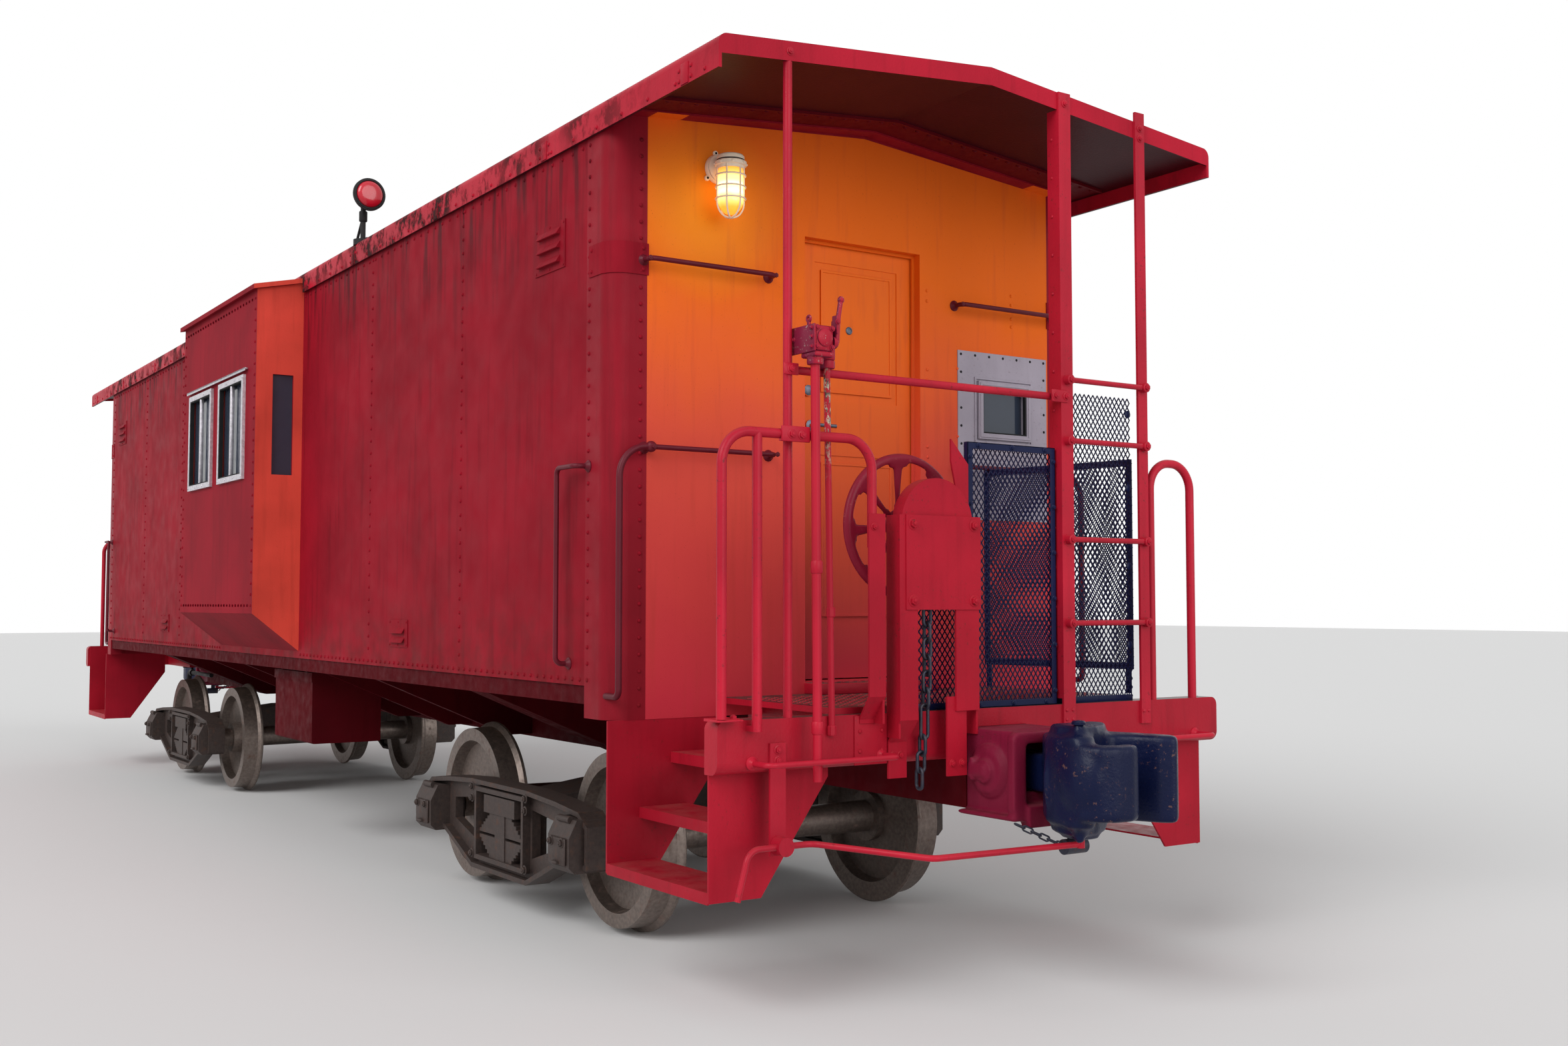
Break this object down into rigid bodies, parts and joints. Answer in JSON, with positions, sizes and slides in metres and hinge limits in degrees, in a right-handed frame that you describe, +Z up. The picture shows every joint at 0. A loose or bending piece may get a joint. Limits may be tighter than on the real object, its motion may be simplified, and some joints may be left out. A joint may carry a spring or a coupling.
{
  "type": "bay window caboose",
  "caption": "Steel railway guard's van with a lookout bay on each side, open end platforms, railings, hand brakes and two swivelling four-wheel bogies.",
  "frame": {"origin": "below the middle of the car, at the lowest points of the wheel flanges", "axes": "+X along the car towards end A, +Y across it to the right as seen from in front of end A, +Z up"},
  "size_m": [13.6836, 3.31, 4.2141],
  "materials": {
    "roof_paint": "dull dark red, stained",
    "body_paint": "weathered red",
    "floor_boards": "worn boards",
    "black_steel": "black, dusty",
    "cast_steel": "dusty black",
    "end_red_paint": "deep red gloss, scuffed",
    "striker_paint": "dull purple-red",
    "coupler_paint": "blue-black gloss, chipped",
    "railing_paint": "bright red gloss",
    "blue_black_paint": "blue-black gloss",
    "chain_steel": "bare and worn",
    "purple_paint": "purple-red, chipped",
    "ivory_paint": "ivory, satin",
    "lamp_glass": "warm and lit",
    "window_metal": "grey-lavender plate, light frame",
    "window_glass": "blue-grey",
    "door_paint": "orange-red",
    "dark_red_paint": "dark maroon",
    "spring_steel": "dusty",
    "wheel_steel": "rusty with bright treads"
  },
  "bodies": {
    "car": {"roof": "roof_paint", "end_wall_a": "body_paint", "end_wall_b": "body_paint", "side_wall_left": "body_paint", "side_wall_right": "body_paint", "bay_left": "body_paint", "bay_right": "body_paint", "floor": "floor_boards", "centre_sill": "black_steel", "side_sills": "body_paint", "cross_members": "black_steel", "end_platform_a": "end_red_paint", "end_platform_b": "end_red_paint", "steps": "end_red_paint", "strikers": "striker_paint", "couplers": "coupler_paint", "uncoupling_levers": "railing_paint", "train_pipes": "black_steel", "hose_chains": "chain_steel", "railings": "railing_paint", "ladders": "railing_paint", "screens": "blue_black_paint", "brake_stands": "end_red_paint", "brake_wheels": "purple_paint", "brake_chains": "chain_steel", "brake_valves": "purple_paint", "end_lamps": "ivory_paint", "lamp_globes": "lamp_glass", "end_window_frames": "window_metal", "bay_window_frames": "window_metal", "window_panes": "window_glass", "grab_irons": "dark_red_paint", "side_vents": "dark_red_paint", "marker_lamps": "black_steel", "smoke_stack": "black_steel", "air_tank": "black_steel", "brake_cylinder": "black_steel", "tool_box": "black_steel"},
    "bogie_a": {"side_frames_a": "cast_steel", "bolster_a": "cast_steel", "bogie_springs_a": "spring_steel"},
    "wheelset_a_outer": {"wheelset_a_outer": "wheel_steel"},
    "wheelset_a_inner": {"wheelset_a_inner": "wheel_steel"},
    "door_a": {"door_a": "door_paint"},
    "bogie_b": {"side_frames_b": "cast_steel", "bolster_b": "cast_steel", "bogie_springs_b": "spring_steel"},
    "wheelset_b_outer": {"wheelset_b_outer": "wheel_steel"},
    "wheelset_b_inner": {"wheelset_b_inner": "wheel_steel"},
    "door_b": {"door_b": "door_paint"}
  },
  "joints": [
    {"name": "bogie_a_swivel", "type": "hinge", "parent": "car", "child": "bogie_a", "pos_m": [3.41, 0, 0.681], "axis": [0, 0, 1], "range_deg": [-6, 6]},
    {"name": "wheelset_a_outer_turn", "type": "hinge", "parent": "bogie_a", "child": "wheelset_a_outer", "pos_m": [4.26, 0, 0.446], "axis": [0, 1, 0], "continuous": true},
    {"name": "wheelset_a_inner_turn", "type": "hinge", "parent": "bogie_a", "child": "wheelset_a_inner", "pos_m": [2.56, 0, 0.446], "axis": [0, 1, 0], "continuous": true},
    {"name": "door_a_hinge", "type": "hinge", "parent": "car", "child": "door_a", "pos_m": [5.047, 0.3305, 2.183], "axis": [0, 0, 1], "range_deg": [-95, 0]},
    {"name": "bogie_b_swivel", "type": "hinge", "parent": "car", "child": "bogie_b", "pos_m": [-3.41, 0, 0.681], "axis": [0, 0, 1], "range_deg": [-6, 6]},
    {"name": "wheelset_b_outer_turn", "type": "hinge", "parent": "bogie_b", "child": "wheelset_b_outer", "pos_m": [-4.26, 0, 0.446], "axis": [0, 1, 0], "continuous": true},
    {"name": "wheelset_b_inner_turn", "type": "hinge", "parent": "bogie_b", "child": "wheelset_b_inner", "pos_m": [-2.56, 0, 0.446], "axis": [0, 1, 0], "continuous": true},
    {"name": "door_b_hinge", "type": "hinge", "parent": "car", "child": "door_b", "pos_m": [-5.047, -0.3305, 2.183], "axis": [0, 0, 1], "range_deg": [-95, 0]}
  ]
}
